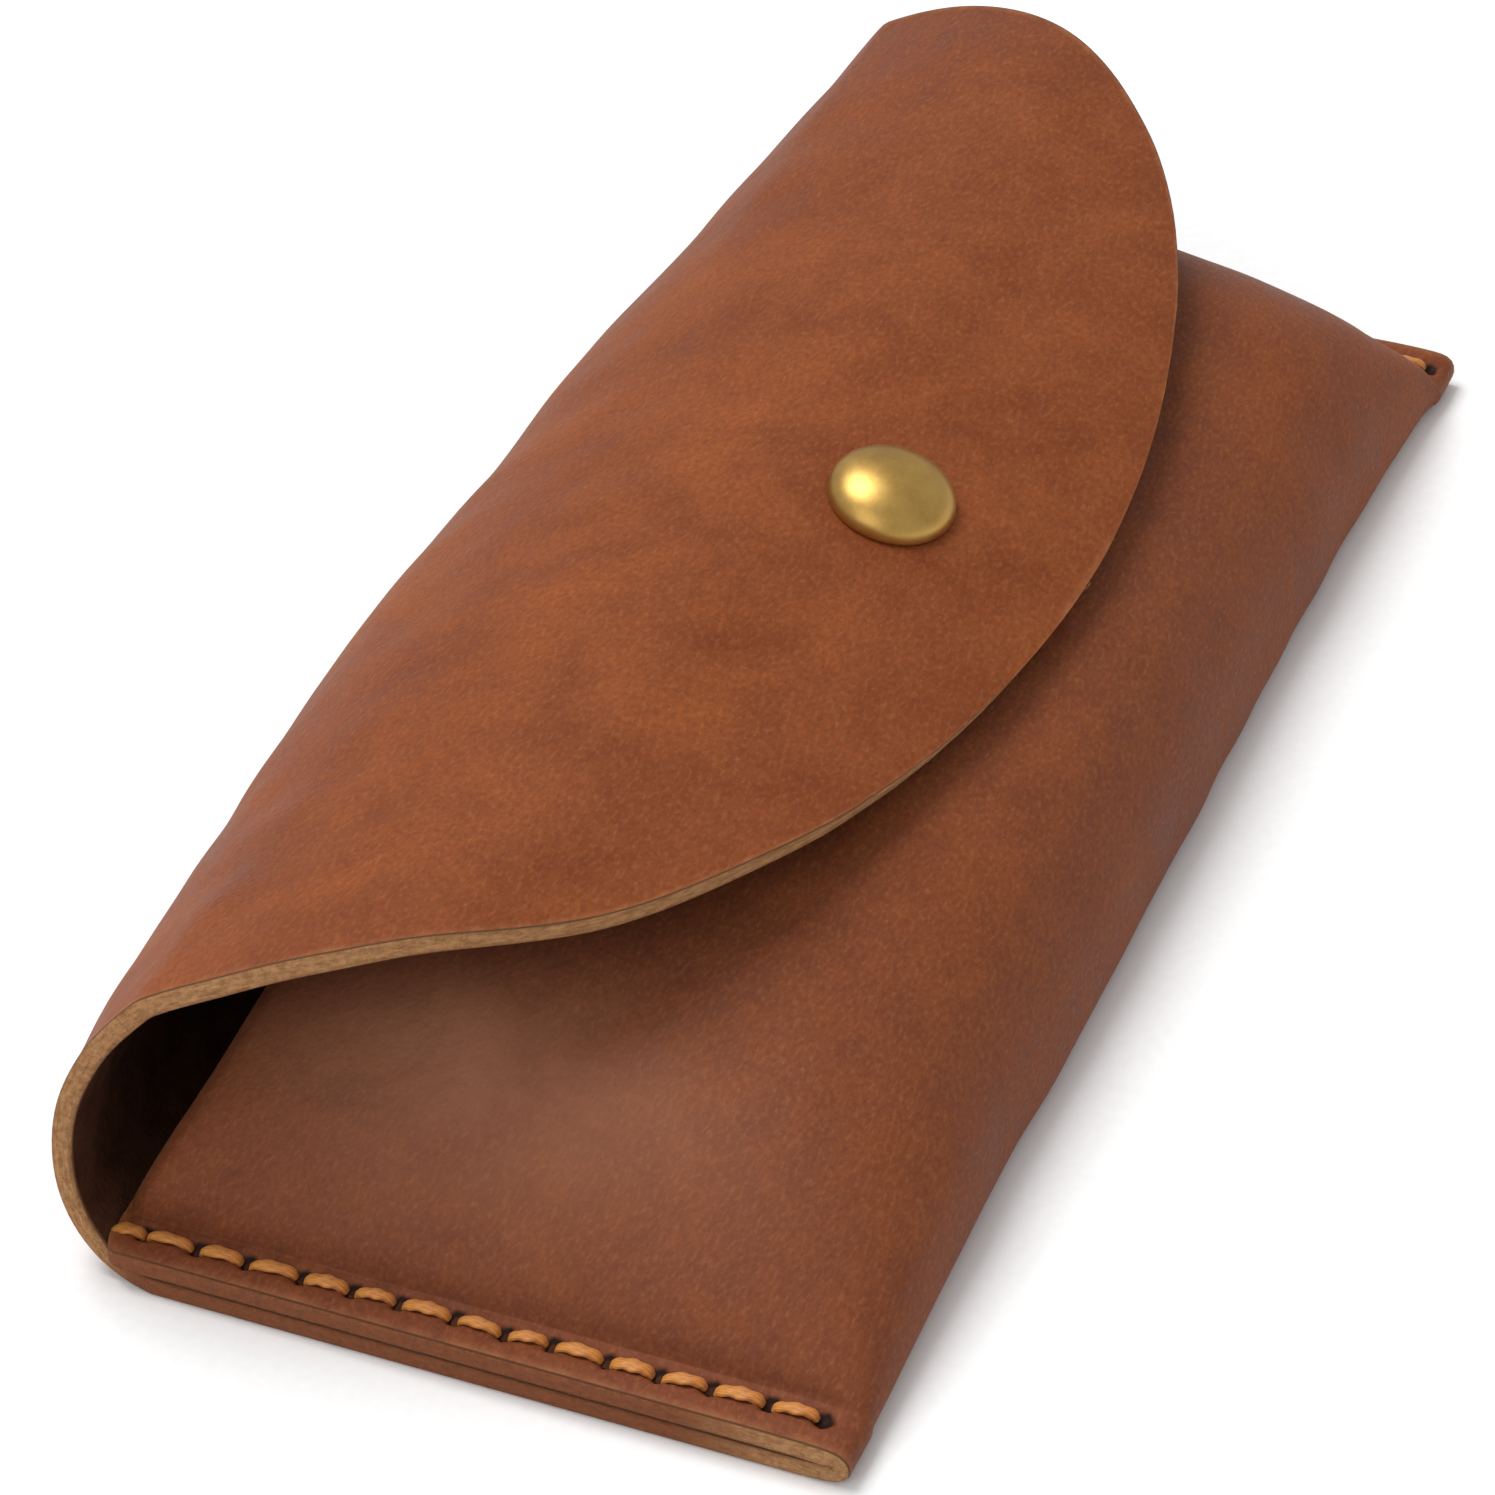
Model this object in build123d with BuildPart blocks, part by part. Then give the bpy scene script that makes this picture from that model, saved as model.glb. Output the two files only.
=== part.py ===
"""Soft leather eyeglasses case: a folded and stitched pocket, a rolled flap and one press snap.

The case lies on its back.  X runs along its length, Y from the fold at the bottom of the pocket
(-Y) to the rolled flap (+Y), and Z points up.  The origin is under the middle of the case.
Millimetres.

The case is one hide.  Its flap moves, so the hide is cut at five straight lines across the roll
into the pocket, four strips and the flap that carries the snap.  Each line takes an equal share of
the opening.
"""
import os
from math import asin, cos, hypot, radians, sin

from build123d import *

# ---------------------------------------------------------------- driving dimensions
LENGTH = 170.0          # end to end
LEATHER = 2.0           # thickness of the hide
POCKET_WIDTH = 71.5     # fold to mouth edge, flat at the end seams
BACK_FLAT = 66.7        # fold to where the hide starts to curl up into the roll
SEAM_WIDTH = 7.5        # flat margin at each end, sewn through both layers
BULGE_END = LENGTH / 2 - SEAM_WIDTH

# The outer skin from BACK_FLAT to the flap tip, as (length, turn in degrees) stretches.
LIP = [(8.0, 14), (5.5, 25)]
ROLL = [(5.5, 34), (5.0, 31), (7.0, 24), (9.0, 18)]
FLAP = [(14.0, 11), (14.0, 18), (10.0, 22), (12.0, 0), (14.0, 18)]
SKIN = LIP + ROLL + FLAP
STRIP_GAP = 0.2         # between neighbouring strips, half on each side of the hinge line
STRAIGHT = 1e-6         # a stretch that turns less than this many degrees is a straight line

# Flap outline: half length at distance v is L/2 * (1 - (v / V)^p)^(1 / q).
OUTLINE_P = 4.73
OUTLINE_Q = 1.80
FLAP_SKEW = 9.1         # the flap tip stands this far to +X of the middle
OUTLINE_STEPS = 12

# Stitching
STITCH = 5.0            # pitch of the holes
STITCHES = 14           # holes in a row
STITCH_MARGIN = 4.1     # seam line to the end of the case
FIRST_HOLE = 3.2        # fold to first hole
THREAD = 0.8            # thread diameter
THREAD_SPLIT = 0.45     # each of the two strands runs this far beside the seam line
HOLE_SIZE = (2.0, 1.0)  # slot of each awl hole, along X and Y
GROOVE_WIDTH = 2.2      # stitching groove in the back
GROOVE_DEPTH = 1.0
BEND = 0.5              # radius of the thread's centre line where it enters a hole
EDGE_HOLE = POCKET_WIDTH + 1.0  # the last stitch goes over the mouth edge and in here

SNAP_X = 5.2            # the snap stands this far to +X of the middle

# Press snap, measured along its own axis from the outer skin of the flap (0), inwards negative
CAP_RADIUS = 6.25
CAP_RIM = 0.5
CAP_HEIGHT = 2.6
SOCKET_RADIUS = 5.6
SOCKET_HEIGHT = 3.1
SOCKET_BORE = 4.7
SOCKET_ROOF = 0.8
CAP_POST_RADIUS = 1.6
CAP_POST_FLARE = 2.2
CAP_POST_HEAD = 0.3
LEAF_GAP = 3.4          # between flap and front panel at the snap
STUD_HEAD = 3.1
STUD_NECK = 2.4
STUD_FLANGE = 3.6
STUD_HEIGHT = 2.2
STUD_FLANGE_THICK = 0.4
STUD_HEAD_THICK = 0.9
POST_RADIUS = 1.6
POST_FLANGE = 5.0
POST_FLANGE_THICK = 0.6
SEAT_RADIUS = 6.6       # flat pressed patch of the front panel round the stud
SPRING_WIRE = 0.6
SPRING_LEG = 2.75       # snap axis to each leg of the wire
SPRING_START = -3.4
SPRING_BEND = 1.5


# ---------------------------------------------------------------- the line of the hide
def stops(stretches):
    """Distances along the skin where its stretches begin and end."""
    marks = [0.0]
    for length, _ in stretches:
        marks.append(marks[-1] + length)
    return marks


MARKS = stops(SKIN)
SKIN_LENGTH = MARKS[-1]
HINGES = MARKS[len(LIP):len(LIP) + len(ROLL) + 1]


def skin(distance):
    """Y and Z of the outer skin, from the fold, and its heading in degrees."""
    y, z, heading = BACK_FLAT, 0.0, 0.0
    left = distance
    for length, turn in SKIN:
        step = min(left, length)
        angle = turn * step / length
        middle = radians(heading + angle / 2)
        half = radians(angle / 2)
        chord = step * (sin(half) / half if half else 1.0)
        y += chord * cos(middle)
        z += chord * sin(middle)
        heading += angle
        left -= step
        if left <= 0:
            break
    return y, z, heading


def inside(distance, depth=0.0):
    """Point at a depth under the outer skin."""
    y, z, heading = skin(distance)
    return y - depth * sin(radians(heading)), z + depth * cos(radians(heading))


# The roll stands furthest out where its skin is upright; half of that puts the origin mid-width.
CREST = HINGES[1] + ROLL[1][0] * (90 - skin(HINGES[1])[2]) / ROLL[1][1]
HALF_WIDTH = skin(CREST)[0] / 2


def section_plane(x):
    """Plane across the case at x: local X is the distance from the fold, local Y the height."""
    return Plane(origin=(x, -HALF_WIDTH, 0), x_dir=(0, 1, 0), z_dir=(1, 0, 0))


def hide_outline(start, end):
    """Closed outline of the hide between two distances along its skin, for a BuildLine."""
    marks = [start] + [mark for mark in MARKS if start < mark < end] + [end]
    for depth in (0.0, LEATHER):
        for low, high in zip(marks, marks[1:]):
            first, last = inside(low, depth), inside(high, depth)
            if abs(skin(high)[2] - skin(low)[2]) < STRAIGHT:
                Line(first, last)
            else:
                ThreePointArc(first, inside((low + high) / 2, depth), last)
    Line(inside(start), inside(start, LEATHER))
    Line(inside(end), inside(end, LEATHER))


# ---------------------------------------------------------------- the snap's own axis
SNAP_AT = sum(length for length, _ in SKIN[:-2]) + FLAP[-2][0] / 2
FLAP_START = HINGES[-1]


def flap_shift(distance):
    """How far the flap's middle line stands to +X."""
    return FLAP_SKEW * (distance - FLAP_START) / (SKIN_LENGTH - FLAP_START)


snap_y, snap_z, snap_heading = skin(SNAP_AT)
snap_origin = (SNAP_X, snap_y - HALF_WIDTH, snap_z)
snap_axis = (0, sin(radians(snap_heading)), -cos(radians(snap_heading)))
snap_plane = Plane(origin=snap_origin, x_dir=(1, 0, 0), z_dir=snap_axis)
across_snap = (0, -snap_axis[2], snap_axis[1])
snap_profile = Plane(origin=snap_origin, x_dir=(1, 0, 0), z_dir=across_snap)
SOCKET_TOP = -LEATHER
SOCKET_END = SOCKET_TOP - SOCKET_HEIGHT
FRONT_SKIN = SOCKET_TOP - LEAF_GAP
FRONT_INNER = FRONT_SKIN - LEATHER


def snap_point(depth, along=0.0):
    """Point on the middle section, by depth under the flap's skin and distance along it."""
    heading = radians(snap_heading)
    y = snap_y + along * cos(heading) - depth * sin(heading)
    z = snap_z + along * sin(heading) + depth * cos(heading)
    return y, z


# ---------------------------------------------------------------- pocket
# Outer line of the front panel from the fold to the mouth edge, when flat and when full.
SNAP_FLAT = 7.0         # half length of the flat patch round the snap
under_snap_low = snap_point(-FRONT_SKIN, SNAP_FLAT)
under_snap_high = snap_point(-FRONT_SKIN, -SNAP_FLAT)
FOLD_FULL = [(0.0, 2.2), (2.6, 10.5), (8.6, 18.6)]
MOUTH_FULL = [(50.0, 28.6), (60.0, 27.0)]
FRONT_FULL = FOLD_FULL + [under_snap_low, under_snap_high] + MOUTH_FULL
FLAT_AT = (18.0, 39.0, 51.0, 61.0, POCKET_WIDTH)
FRONT_FLAT = [(0.0, LEATHER), (LEATHER, 2 * LEATHER)] + [(y, 2 * LEATHER) for y in FLAT_AT]
# Fullness of the pocket along half its length, as (part of the half length, part of the height)
FULLNESS = [(1.0, 0.0), (0.93, 0.24), (0.8, 0.49), (0.6, 0.74), (0.32, 0.93), (0.0, 1.0)]
SLIT = 0.3              # height of the slit where the layers part at a seam
FOLD_ROOM = 1.0         # height of the hollow at the fold where the pocket is full
MOUTH_OVERRUN = 6.0     # the cavity tool runs this far past the mouth


def between(flat_line, full_line, fullness):
    """Points that stand part of the way from one line to the other."""
    points = []
    for (flat_y, flat_z), (full_y, full_z) in zip(flat_line, full_line):
        y = flat_y + fullness * (full_y - flat_y)
        z = flat_z + fullness * (full_z - flat_z)
        points.append((y, z))
    return points


def front_line(fullness):
    """Points of the front panel's outer skin at one station."""
    return between(FRONT_FLAT, FRONT_FULL, fullness)


def under(points):
    """The same line moved in by the thickness of the hide."""
    moved = []
    for index, (y, z) in enumerate(points):
        before, after = points[max(index - 1, 0)], points[min(index + 1, len(points) - 1)]
        run, rise = after[0] - before[0], after[1] - before[1]
        moved.append((y + LEATHER * rise / hypot(run, rise), z - LEATHER * run / hypot(run, rise)))
    return moved


INNER_FULL = [(LEATHER, LEATHER + FOLD_ROOM)] + under(FRONT_FULL)[1:]
INNER_FLAT = [(LEATHER, LEATHER + SLIT / 2)] + [(y + LEATHER, LEATHER + SLIT) for y, _ in FRONT_FLAT[1:-1]]
INNER_FLAT.append((POCKET_WIDTH, LEATHER + SLIT))


def inner_line(fullness):
    """Points of the front panel's flesh side at one station."""
    return between(INNER_FLAT, INNER_FULL, fullness)


def stations():
    """x and fullness from the near end of the bulge to the far end."""
    near = [(-part * BULGE_END, fullness) for part, fullness in FULLNESS]
    far = [(-x, fullness) for x, fullness in reversed(near[:-1])]
    return near + far


SEAM_LINES = (-LENGTH / 2 + STITCH_MARGIN, LENGTH / 2 - STITCH_MARGIN)
HOLES_Y = [FIRST_HOLE + STITCH * number for number in range(STITCHES)] + [EDGE_HOLE]

with BuildPart() as pocket_leather:
    # filled bulge from seam to seam
    for x, fullness in stations():
        with BuildSketch(section_plane(x)):
            line = front_line(fullness)
            with BuildLine():
                Spline(line, tangents=[(0, 1), (1, 0)])
                Line(line[-1], (line[-1][0], 0))
                Line((line[-1][0], 0), (line[0][1], 0))
                ThreePointArc(
                    (line[0][1], 0),
                    (line[0][1] * (1 - cos(radians(45))), line[0][1] * (1 - sin(radians(45)))),
                    line[0],
                )
            make_face()
    loft()
    # the hollow that holds the eyeglasses, open at the mouth
    for x, fullness in stations():
        with BuildSketch(section_plane(x)):
            line = inner_line(fullness)
            mouth = (line[-1][0] + MOUTH_OVERRUN, line[-1][1])
            with BuildLine():
                Spline(line)
                Line(line[-1], mouth)
                Line(mouth, (mouth[0], LEATHER))
                Line((mouth[0], LEATHER), (LEATHER, LEATHER))
                Line((LEATHER, LEATHER), line[0])
            make_face()
    loft(mode=Mode.SUBTRACT)
    # both layers, flat, at each end seam
    for x in (-LENGTH / 2, BULGE_END):
        with BuildSketch(section_plane(x)):
            with BuildLine():
                Line((LEATHER, 0), (POCKET_WIDTH, 0))
                Line((POCKET_WIDTH, 0), (POCKET_WIDTH, 2 * LEATHER))
                Line((POCKET_WIDTH, 2 * LEATHER), (LEATHER, 2 * LEATHER))
                ThreePointArc((LEATHER, 2 * LEATHER), (0, LEATHER), (LEATHER, 0))
            make_face()
        extrude(amount=SEAM_WIDTH)
    # back panel, and the lip that curls up to the first hinge line
    with BuildSketch(section_plane(-LENGTH / 2)):
        with BuildLine():
            hide_outline(0.0, HINGES[0] - STRIP_GAP / 2)
        make_face()
        with Locations((BACK_FLAT / 2 + LEATHER / 2, LEATHER / 2)):
            Rectangle(BACK_FLAT - LEATHER, LEATHER)
    extrude(amount=LENGTH)
    # flat seats of the stud outside and its post inside, and the hole between them
    with BuildSketch(snap_plane.offset(FRONT_SKIN)):
        Circle(SEAT_RADIUS)
    extrude(amount=LEATHER, mode=Mode.SUBTRACT)
    with BuildSketch(snap_plane.offset(FRONT_INNER)):
        Circle(SEAT_RADIUS)
    extrude(amount=-LEATHER, mode=Mode.SUBTRACT)
    with BuildSketch(snap_plane.offset(FRONT_SKIN + LEATHER)):
        Circle(POST_RADIUS)
    extrude(amount=-3 * LEATHER, mode=Mode.SUBTRACT)
    # awl holes of both seams, and the stitching grooves in the back
    for seam_x in SEAM_LINES:
        with BuildSketch(Plane.XY.offset(-LEATHER)):
            with Locations(*[(seam_x, y - HALF_WIDTH) for y in HOLES_Y]):
                Rectangle(*HOLE_SIZE)
        extrude(amount=4 * LEATHER, mode=Mode.SUBTRACT)
        with BuildSketch():
            with Locations((seam_x, (HOLES_Y[0] + HOLES_Y[-1]) / 2 - HALF_WIDTH)):
                SlotCenterToCenter(HOLES_Y[-1] - HOLES_Y[0], GROOVE_WIDTH, rotation=90)
        extrude(amount=GROOVE_DEPTH, mode=Mode.SUBTRACT)


# ---------------------------------------------------------------- roll and flap
def roll_strip(start, end):
    """One full-length strip of the rolled hide between two hinge lines."""
    with BuildPart() as strip:
        with BuildSketch(section_plane(-LENGTH / 2)):
            with BuildLine():
                hide_outline(start + STRIP_GAP / 2, end - STRIP_GAP / 2)
            make_face()
        extrude(amount=LENGTH)
    return strip.part


roll_strips = {}
for number, (start, end) in enumerate(zip(HINGES, HINGES[1:]), 1):
    roll_strips[f"roll_strip_{number}"] = roll_strip(start, end)


def half_length(distance):
    """Half of the flap's length across the case at a distance along the skin."""
    return LENGTH / 2 * (1 - (distance / SKIN_LENGTH) ** OUTLINE_P) ** (1 / OUTLINE_Q)


def flap_edge(side):
    """Points of the flap's cut edge in plan, from the root towards the tip, one side."""
    points = []
    for step in range(OUTLINE_STEPS):
        # shorter steps towards the tip, where the edge turns
        part = sin(radians(90 * step / OUTLINE_STEPS))
        distance = FLAP_START + part * (SKIN_LENGTH - FLAP_START)
        points.append((flap_shift(distance) + side * half_length(distance), skin(distance)[0] - HALF_WIDTH))
    return points


with BuildPart() as flap_leather:
    with BuildSketch(section_plane(-LENGTH / 2)):
        with BuildLine():
            hide_outline(FLAP_START + STRIP_GAP / 2, SKIN_LENGTH)
        make_face()
    extrude(amount=LENGTH)
    near_edge, far_edge = flap_edge(-1), flap_edge(1)
    tip = (FLAP_SKEW, skin(SKIN_LENGTH)[0] - HALF_WIDTH)
    root_y = near_edge[0][1] + LEATHER
    with BuildSketch():
        with BuildLine():
            Spline(near_edge + [tip] + far_edge[::-1])
            Polyline(far_edge[0], (far_edge[0][0], root_y), (near_edge[0][0], root_y), near_edge[0])
        make_face()
    extrude(amount=2 * CAP_HEIGHT + snap_z, mode=Mode.INTERSECT)
    with BuildSketch(snap_plane.offset(LEATHER)):
        Circle(CAP_POST_RADIUS)
    extrude(amount=-3 * LEATHER, mode=Mode.SUBTRACT)


# ---------------------------------------------------------------- press snap
def turned(outline):
    """Part turned about the snap's axis from (radius, height) corners."""
    with BuildPart() as piece:
        with BuildSketch(snap_profile):
            with BuildLine():
                Polyline(*outline, close=True)
            make_face()
        revolve(axis=Axis(snap_origin, snap_axis))
    return piece.part


dome_rise = CAP_HEIGHT - CAP_RIM
dome = (CAP_RADIUS**2 + dome_rise**2) / (2 * dome_rise)
dome_angle = asin(CAP_RADIUS / dome)
with BuildPart() as snap_cap:
    with BuildSketch(snap_profile):
        with BuildLine():
            Line((0, 0), (CAP_RADIUS, 0))
            Line((CAP_RADIUS, 0), (CAP_RADIUS, CAP_RIM))
            ThreePointArc(
                (CAP_RADIUS, CAP_RIM),
                (dome * sin(dome_angle / 2), CAP_HEIGHT - dome + dome * cos(dome_angle / 2)),
                (0, CAP_HEIGHT),
            )
            Line((0, CAP_HEIGHT), (0, 0))
        make_face()
    revolve(axis=Axis(snap_origin, snap_axis))
    # the post that rivets the socket under the flap
    flare_top = SOCKET_TOP - SOCKET_ROOF
    with BuildSketch(snap_plane):
        Circle(CAP_POST_RADIUS)
    extrude(amount=flare_top)
    with BuildSketch(snap_plane.offset(flare_top)):
        Circle(CAP_POST_FLARE)
    extrude(amount=-CAP_POST_HEAD)

snap_socket = turned([
    (CAP_POST_RADIUS, SOCKET_TOP),
    (SOCKET_RADIUS, SOCKET_TOP),
    (SOCKET_RADIUS, SOCKET_END),
    (SOCKET_BORE, SOCKET_END),
    (SOCKET_BORE, SOCKET_TOP - SOCKET_ROOF),
    (CAP_POST_RADIUS, SOCKET_TOP - SOCKET_ROOF),
])

stud_top = FRONT_SKIN + STUD_HEIGHT
snap_stud = turned([
    (0, FRONT_SKIN),
    (STUD_FLANGE, FRONT_SKIN),
    (STUD_FLANGE, FRONT_SKIN + STUD_FLANGE_THICK),
    (STUD_NECK, FRONT_SKIN + STUD_FLANGE_THICK),
    (STUD_NECK, stud_top - STUD_HEAD_THICK),
    (STUD_HEAD, stud_top - STUD_HEAD_THICK / 2),
    (STUD_HEAD - STUD_HEAD_THICK / 2, stud_top),
    (0, stud_top),
])

stud_post = turned([
    (0, FRONT_SKIN),
    (POST_RADIUS, FRONT_SKIN),
    (POST_RADIUS, FRONT_INNER),
    (POST_FLANGE, FRONT_INNER),
    (POST_FLANGE, FRONT_INNER - POST_FLANGE_THICK),
    (0, FRONT_INNER - POST_FLANGE_THICK),
])

# bent wire that grips the stud under its head
spring_depth = stud_top - STUD_HEAD_THICK - SPRING_WIRE / 2
with BuildPart() as socket_spring:
    with BuildLine(snap_plane.offset(spring_depth)):
        Line((SPRING_START, SPRING_LEG), (SPRING_BEND, SPRING_LEG))
        ThreePointArc((SPRING_BEND, SPRING_LEG), (SPRING_BEND + SPRING_LEG, 0), (SPRING_BEND, -SPRING_LEG))
        Line((SPRING_BEND, -SPRING_LEG), (SPRING_START, -SPRING_LEG))
    leg_start = snap_plane.offset(spring_depth).from_local_coords((SPRING_START, SPRING_LEG, 0))
    with BuildSketch(Plane(origin=leg_start, z_dir=(1, 0, 0))):
        Circle(SPRING_WIRE / 2)
    sweep()


# ---------------------------------------------------------------- saddle stitching
TOP_RUN = 2 * LEATHER + THREAD / 2
THREAD_SINK = 0.1       # the thread on the back lies this far off the bottom of its groove
BACK_RUN = GROOVE_DEPTH - THREAD / 2 - THREAD_SINK


def seam_thread(seam_x, first_on_top):
    """One strand: over one stitch, down a hole, under the next, up again."""
    side = -THREAD_SPLIT if first_on_top else THREAD_SPLIT
    on_top = first_on_top
    corners = []
    for y in HOLES_Y:
        run_in, run_out = (BACK_RUN, TOP_RUN) if on_top else (TOP_RUN, BACK_RUN)
        corners += [(y - HALF_WIDTH, run_in), (y - HALF_WIDTH, run_out)]
        on_top = not on_top
    # the ends stop inside the first and last holes
    corners[0] = (corners[0][0], LEATHER)
    corners[-1] = (corners[-1][0], LEATHER / 2 + BACK_RUN / 2)
    with BuildPart() as strand:
        with BuildLine(Plane(origin=(seam_x + side, 0, 0), x_dir=(0, 1, 0), z_dir=(1, 0, 0))):
            FilletPolyline(*corners, radius=BEND)
        start = (seam_x + side, corners[0][0], corners[0][1])
        with BuildSketch(Plane(origin=start, z_dir=(0, 0, 1))):
            Circle(THREAD / 2)
        sweep()
    return strand.part


threads = {}
for end_name, seam_x in zip(("near", "far"), SEAM_LINES):
    threads[f"{end_name}_seam_thread_a"] = seam_thread(seam_x, True)
    threads[f"{end_name}_seam_thread_b"] = seam_thread(seam_x, False)


# ---------------------------------------------------------------- one file for each node
nodes = {
    "pocket_leather": pocket_leather.part,
    **roll_strips,
    "flap_leather": flap_leather.part,
    "snap_cap": snap_cap.part,
    "snap_socket": snap_socket,
    "socket_spring": socket_spring.part,
    "snap_stud": snap_stud,
    "stud_post": stud_post,
    **threads,
}
os.makedirs("parts", exist_ok=True)
for name, part in nodes.items():
    part.label = name
    export_step(part, f"parts/{name}.step")
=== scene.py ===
import math

import bpy
import numpy as np
from mathutils import Matrix, Vector


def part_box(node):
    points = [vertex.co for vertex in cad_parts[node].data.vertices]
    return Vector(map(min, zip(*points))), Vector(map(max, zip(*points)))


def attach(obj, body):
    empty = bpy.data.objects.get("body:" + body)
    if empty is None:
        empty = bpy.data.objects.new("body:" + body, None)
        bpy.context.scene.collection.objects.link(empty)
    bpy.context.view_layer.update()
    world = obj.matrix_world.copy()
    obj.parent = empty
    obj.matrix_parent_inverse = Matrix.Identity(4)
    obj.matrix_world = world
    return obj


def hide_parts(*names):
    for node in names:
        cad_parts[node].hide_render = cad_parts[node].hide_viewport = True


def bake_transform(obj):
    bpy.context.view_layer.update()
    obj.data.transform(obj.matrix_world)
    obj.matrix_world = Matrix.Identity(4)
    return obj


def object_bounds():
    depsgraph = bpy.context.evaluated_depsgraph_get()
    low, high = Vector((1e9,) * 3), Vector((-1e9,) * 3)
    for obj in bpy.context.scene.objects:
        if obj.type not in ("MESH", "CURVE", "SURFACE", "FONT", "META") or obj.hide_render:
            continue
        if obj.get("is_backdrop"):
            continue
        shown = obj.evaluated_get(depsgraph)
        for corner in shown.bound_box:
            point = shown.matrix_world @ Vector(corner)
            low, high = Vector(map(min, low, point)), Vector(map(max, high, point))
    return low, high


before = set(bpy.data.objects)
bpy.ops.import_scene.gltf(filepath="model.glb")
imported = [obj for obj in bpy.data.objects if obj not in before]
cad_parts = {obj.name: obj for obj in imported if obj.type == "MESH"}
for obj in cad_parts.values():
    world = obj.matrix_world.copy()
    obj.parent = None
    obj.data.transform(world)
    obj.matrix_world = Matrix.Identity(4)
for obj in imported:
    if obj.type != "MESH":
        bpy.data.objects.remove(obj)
cad_low, cad_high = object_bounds()

# The case is one hide.  Its outer skin is a grid of columns along X and rows that run from the mouth
# edge of the front panel, down over it, round the fold, along the back, up the roll and over the flap.
# Lengths are millimetres until a mesh is made.

# ---------------------------------------------------------------- sizes from the frame
MM = 0.001
_, pocket_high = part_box("pocket_leather")
HALF = pocket_high.x / MM                   # half length of the case
FOLD_Y = cad_low.y / MM                     # the fold, where distances across the case start
HALF_WIDTH = -FOLD_Y
LEATHER = 2.0                               # thickness of the hide
LAYER_GAP = 0.12                            # between the two layers at a seam
POCKET_WIDTH = 71.5                         # fold to mouth edge, flat
BACK_FLAT = 66.7                            # fold to the start of the roll
SEAM_WIDTH = 5.3                            # flat margin at each end
BULGE = HALF - SEAM_WIDTH

# skin from BACK_FLAT to the flap tip, as (length, turn in degrees)
SKIN = [(8.0, 14), (5.5, 25), (5.5, 34), (5.0, 31), (7.0, 24), (9.0, 18)]
SKIN += [(14.0, 11), (14.0, 18), (10.0, 22), (12.0, 0), (14.0, 18)]
SKIN_LENGTH = sum(length for length, _ in SKIN)
SKIN_SOFTNESS = 2.0                         # bends run this far into each other
SNAP_AT = SKIN_LENGTH - SKIN[-1][0] - SKIN[-2][0] / 2
PIECE_ENDS = (6.0, 16.25, 21.5, 27.5, 35.5, 46.0)   # where the hide passes from body to body

# flap outline: half length at distance v is HALF * (1 - (v / SKIN_LENGTH)^P)^(1 / Q)
OUTLINE_P = 4.73
OUTLINE_Q = 1.80
FLAP_SKEW = 9.1                             # the flap tip stands this far to +X of the middle
BARREL_IN = (0.44, 0.49)                    # the roll draws in towards its near and far ends
BARREL_UP = (0.03, 0.05)                    # and stands a little higher there

# lines across the case from the mouth edge to the back, (distance from the fold, height)
FULL_LINE = [
    (60.0, 26.6), (50.0, 28.9), (40.7, 29.3), (27.3, 25.6), (9.6, 20.4),
    (3.4, 12.8), (1.8, 5.5), (2.2, 0.9), (5.5, 0.0), (10.0, 0.0),
]
LAYERS = 2 * LEATHER + LAYER_GAP
FLAT_LINE = [
    (71.5, LAYERS), (61.0, LAYERS), (51.0, LAYERS), (39.0, LAYERS), (18.0, LAYERS),
    (3.2, LAYERS), (0.9, 3.3), (0.9, 0.8), (3.2, 0.0), (10.0, 0.0),
]
LINE_END = 10.0
NEAR_FULL = (3.8, 0.58)                     # powers of the pocket's fullness towards its near end
FAR_FULL = (8.5, 0.54)                      # and towards its far end
CORNER = 1.9                                # radius of the mouth corners
FOLD_LINE = [(-85, -1.3), (-48, -1.1), (-6, -0.65), (22, -0.1), (40, 0.1), (85, 0.5)]  # x, Y
FOLD_REACH = 34.0                           # the wander of the fold fades out this far from it

# stitching
STITCH = 5.0                                # pitch of the holes
STITCHES = 14
STITCH_MARGIN = 3.3                         # seam line to the end of the case
FIRST_HOLE = 3.2                            # fold to first hole
HOLE_UNEVEN = (0.16, 0.4)                   # hand-punched holes stray this far along X and Y
HOLE_SIZE = (1.0, 0.86)                     # radii along X and Y
HOLE_SHIFT = 0.1                            # the holes open this far to +X of the seam line
HOLE_DEPTH = 0.55
THREAD_WIDTH = 1.3
THREAD_THICK = 0.65
BACK_THREAD_THICK = 0.7
FRONT_INSET = (0.75, 0.55)                  # a front stitch starts and ends this far inside its holes
BACK_INSET = 0.2
BACK_SLANT = 0.1                            # a back stitch runs from this far to +X to as far to -X
FRONT_SINK, UNDER_SINK, LAST_SINK = 0.5, 0.7, 1.2   # how deep the ends of a stitch go
FRONT_CHANNEL = 0.28                        # the thread sinks this far into the front
BACK_CHANNEL = 0.9                          # and lies in a groove this deep in the back

# soft unevenness of a worn hide: (height, number of waves, longest, shortest, seed)
RELIEF = [(0.30, 14, 90, 26, 3), (0.10, 16, 24, 9, 5)]
BACK_SINK = 0.25                            # part of the relief that hollows the back

# a painted highlight: the front panel is painted paler round this place (x and Y), standing in for the
# sheen of light on its waxy surface there
SHEEN_PATCH_AT, SHEEN_PATCH_SIZE, SHEEN_PATCH_MOST = (-67, 42), (8, 20), 0.7
# a little mauve cast with painted shade: the front panel, and the flap from one x to another, are painted
# darker and more mauve because they lie away from the light
MAUVE_SHADE_FLAP = 0.75
MAUVE_SHADE_FROM, MAUVE_SHADE_TO = 15, 80

EDGE_OUT = 0.32                             # the rounded cut edge stands this far past the grid
EDGE_ROUGH = 0.05
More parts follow.
